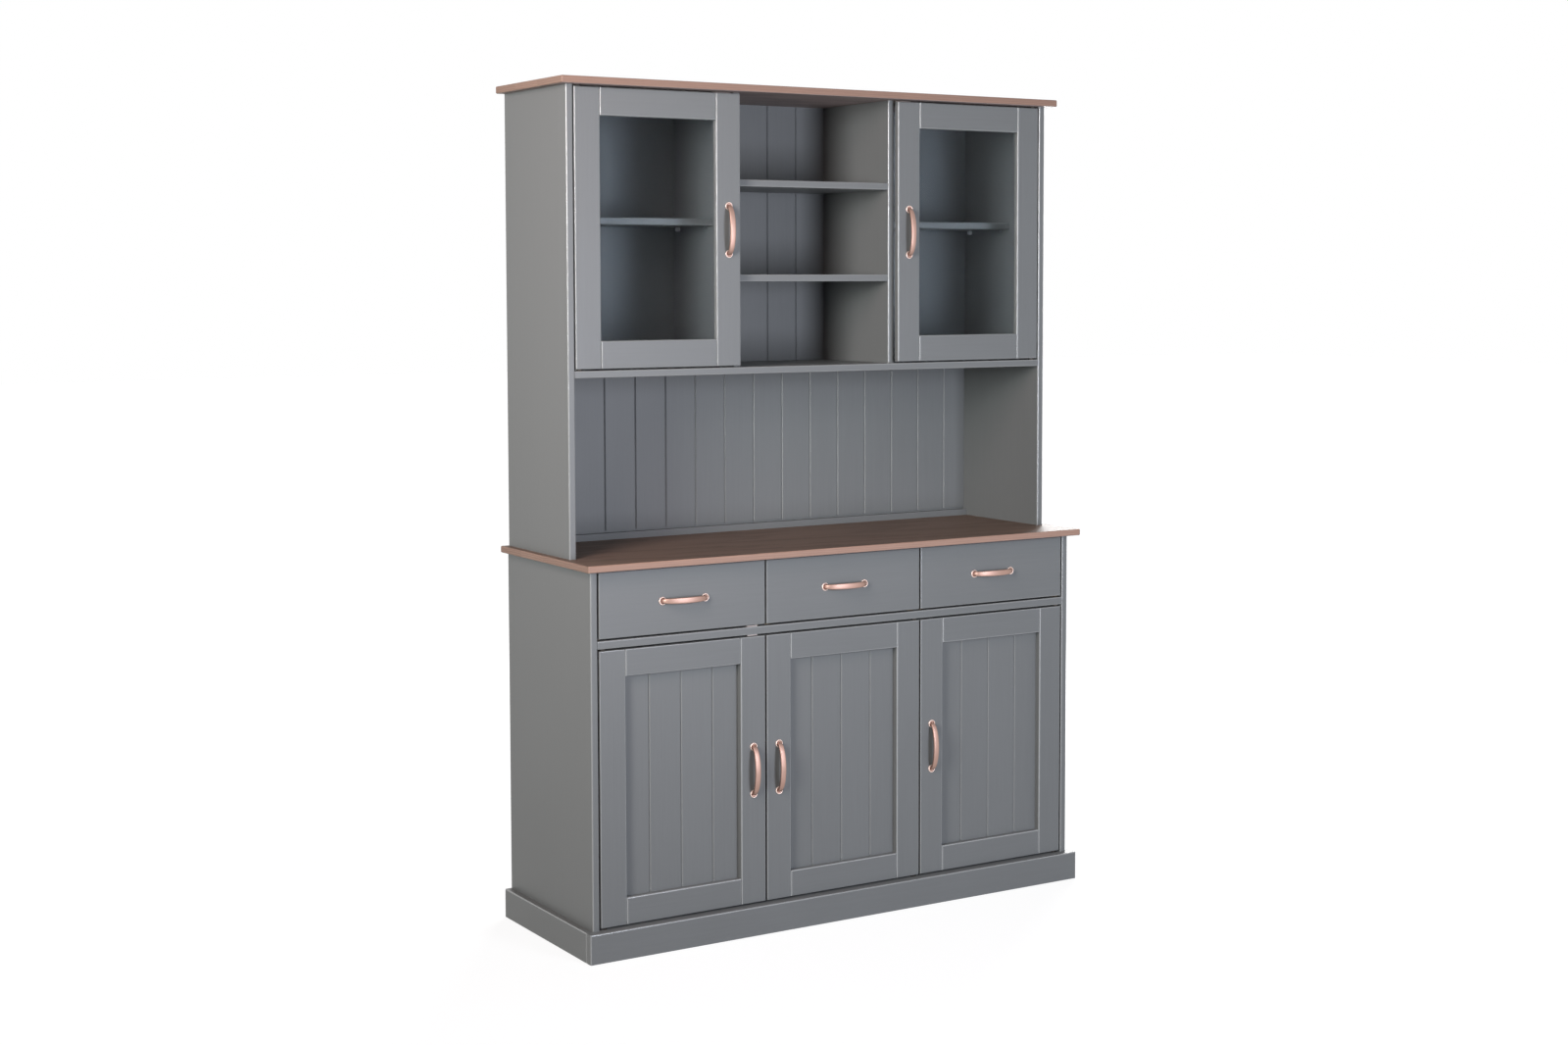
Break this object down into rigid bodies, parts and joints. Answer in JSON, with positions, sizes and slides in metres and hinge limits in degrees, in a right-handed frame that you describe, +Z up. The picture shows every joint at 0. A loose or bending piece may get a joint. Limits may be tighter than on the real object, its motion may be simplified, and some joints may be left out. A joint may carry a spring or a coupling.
{
  "type": "buffet cabinet",
  "caption": "Tall painted buffet: base cupboard with drawers over panelled doors, stained worktop, and a shallower hutch with glass doors, open shelves and a niche.",
  "frame": {"origin": "on the floor under the middle of the cabinet's box", "axes": "+X to the right along the width as seen from the front, fronts face -Y, +Z up"},
  "size_m": [1.404, 0.466, 1.997],
  "materials": {
    "paint": "satin mid-grey paint on pine",
    "stain": "brown stained and varnished pine",
    "raw_pine": "bare planed pine",
    "rose_metal": "satin rose-gold plating",
    "steel": "zinc plated",
    "clear_glass": "clear float glass",
    "white_plastic": "moulded"
  },
  "bodies": {
    "carcass": {"back_screws": "steel", "base_back_panel": "paint", "base_bottom_board": "paint", "base_mid_board": "paint", "base_partitions": "paint", "base_shelves": "paint", "base_side_left": "paint", "base_side_right": "paint", "cupboard_floor": "paint", "dowels": "raw_pine", "drawer_runners": "raw_pine", "hutch_back_panel": "paint", "hutch_foot_rail": "paint", "hutch_partitions": "paint", "hutch_shelves": "paint", "hutch_side_left": "paint", "hutch_side_right": "paint", "hutch_top": "stain", "magnet_catches": "white_plastic", "pivot_bushes": "steel", "plinth_boards": "paint", "shelf_pins": "steel", "worktop": "stain"},
    "left_base_door": {"left_base_door_fittings": "steel", "left_base_door_frame": "paint", "left_base_door_handle": "rose_metal", "left_base_door_panel": "paint"},
    "middle_base_door": {"middle_base_door_fittings": "steel", "middle_base_door_frame": "paint", "middle_base_door_handle": "rose_metal", "middle_base_door_panel": "paint"},
    "right_base_door": {"right_base_door_fittings": "steel", "right_base_door_frame": "paint", "right_base_door_handle": "rose_metal", "right_base_door_panel": "paint"},
    "left_glass_door": {"left_glass_door_fittings": "steel", "left_glass_door_frame": "paint", "left_glass_door_glass": "clear_glass", "left_glass_door_glazing_beads": "paint", "left_glass_door_handle": "rose_metal"},
    "right_glass_door": {"right_glass_door_fittings": "steel", "right_glass_door_frame": "paint", "right_glass_door_glass": "clear_glass", "right_glass_door_glazing_beads": "paint", "right_glass_door_handle": "rose_metal"},
    "left_drawer": {"left_drawer_bottom": "raw_pine", "left_drawer_box": "raw_pine", "left_drawer_front": "paint", "left_drawer_handle": "rose_metal", "left_drawer_screws": "steel"},
    "middle_drawer": {"middle_drawer_bottom": "raw_pine", "middle_drawer_box": "raw_pine", "middle_drawer_front": "paint", "middle_drawer_handle": "rose_metal", "middle_drawer_screws": "steel"},
    "right_drawer": {"right_drawer_bottom": "raw_pine", "right_drawer_box": "raw_pine", "right_drawer_front": "paint", "right_drawer_handle": "rose_metal", "right_drawer_screws": "steel"}
  },
  "joints": [
    {"name": "left_base_door_hinge", "type": "hinge", "parent": "carcass", "child": "left_base_door", "pos_m": [-0.6475, -0.195, 0.39], "axis": [0, 0, -1], "range_deg": [0, 105]},
    {"name": "middle_base_door_hinge", "type": "hinge", "parent": "carcass", "child": "middle_base_door", "pos_m": [0.2075, -0.195, 0.39], "axis": [0, 0, 1], "range_deg": [0, 95]},
    {"name": "right_base_door_hinge", "type": "hinge", "parent": "carcass", "child": "right_base_door", "pos_m": [0.6475, -0.195, 0.39], "axis": [0, 0, 1], "range_deg": [0, 105]},
    {"name": "left_glass_door_hinge", "type": "hinge", "parent": "carcass", "child": "left_glass_door", "pos_m": [-0.6475, -0.092, 1.657], "axis": [0, 0, -1], "range_deg": [0, 105]},
    {"name": "right_glass_door_hinge", "type": "hinge", "parent": "carcass", "child": "right_glass_door", "pos_m": [0.6475, -0.092, 1.657], "axis": [0, 0, 1], "range_deg": [0, 105]},
    {"name": "left_drawer_slide", "type": "slide", "parent": "carcass", "child": "left_drawer", "axis": [0, -1, 0], "range_m": [0, 0.28]},
    {"name": "middle_drawer_slide", "type": "slide", "parent": "carcass", "child": "middle_drawer", "axis": [0, -1, 0], "range_m": [0, 0.28]},
    {"name": "right_drawer_slide", "type": "slide", "parent": "carcass", "child": "right_drawer", "axis": [0, -1, 0], "range_m": [0, 0.28]}
  ]
}
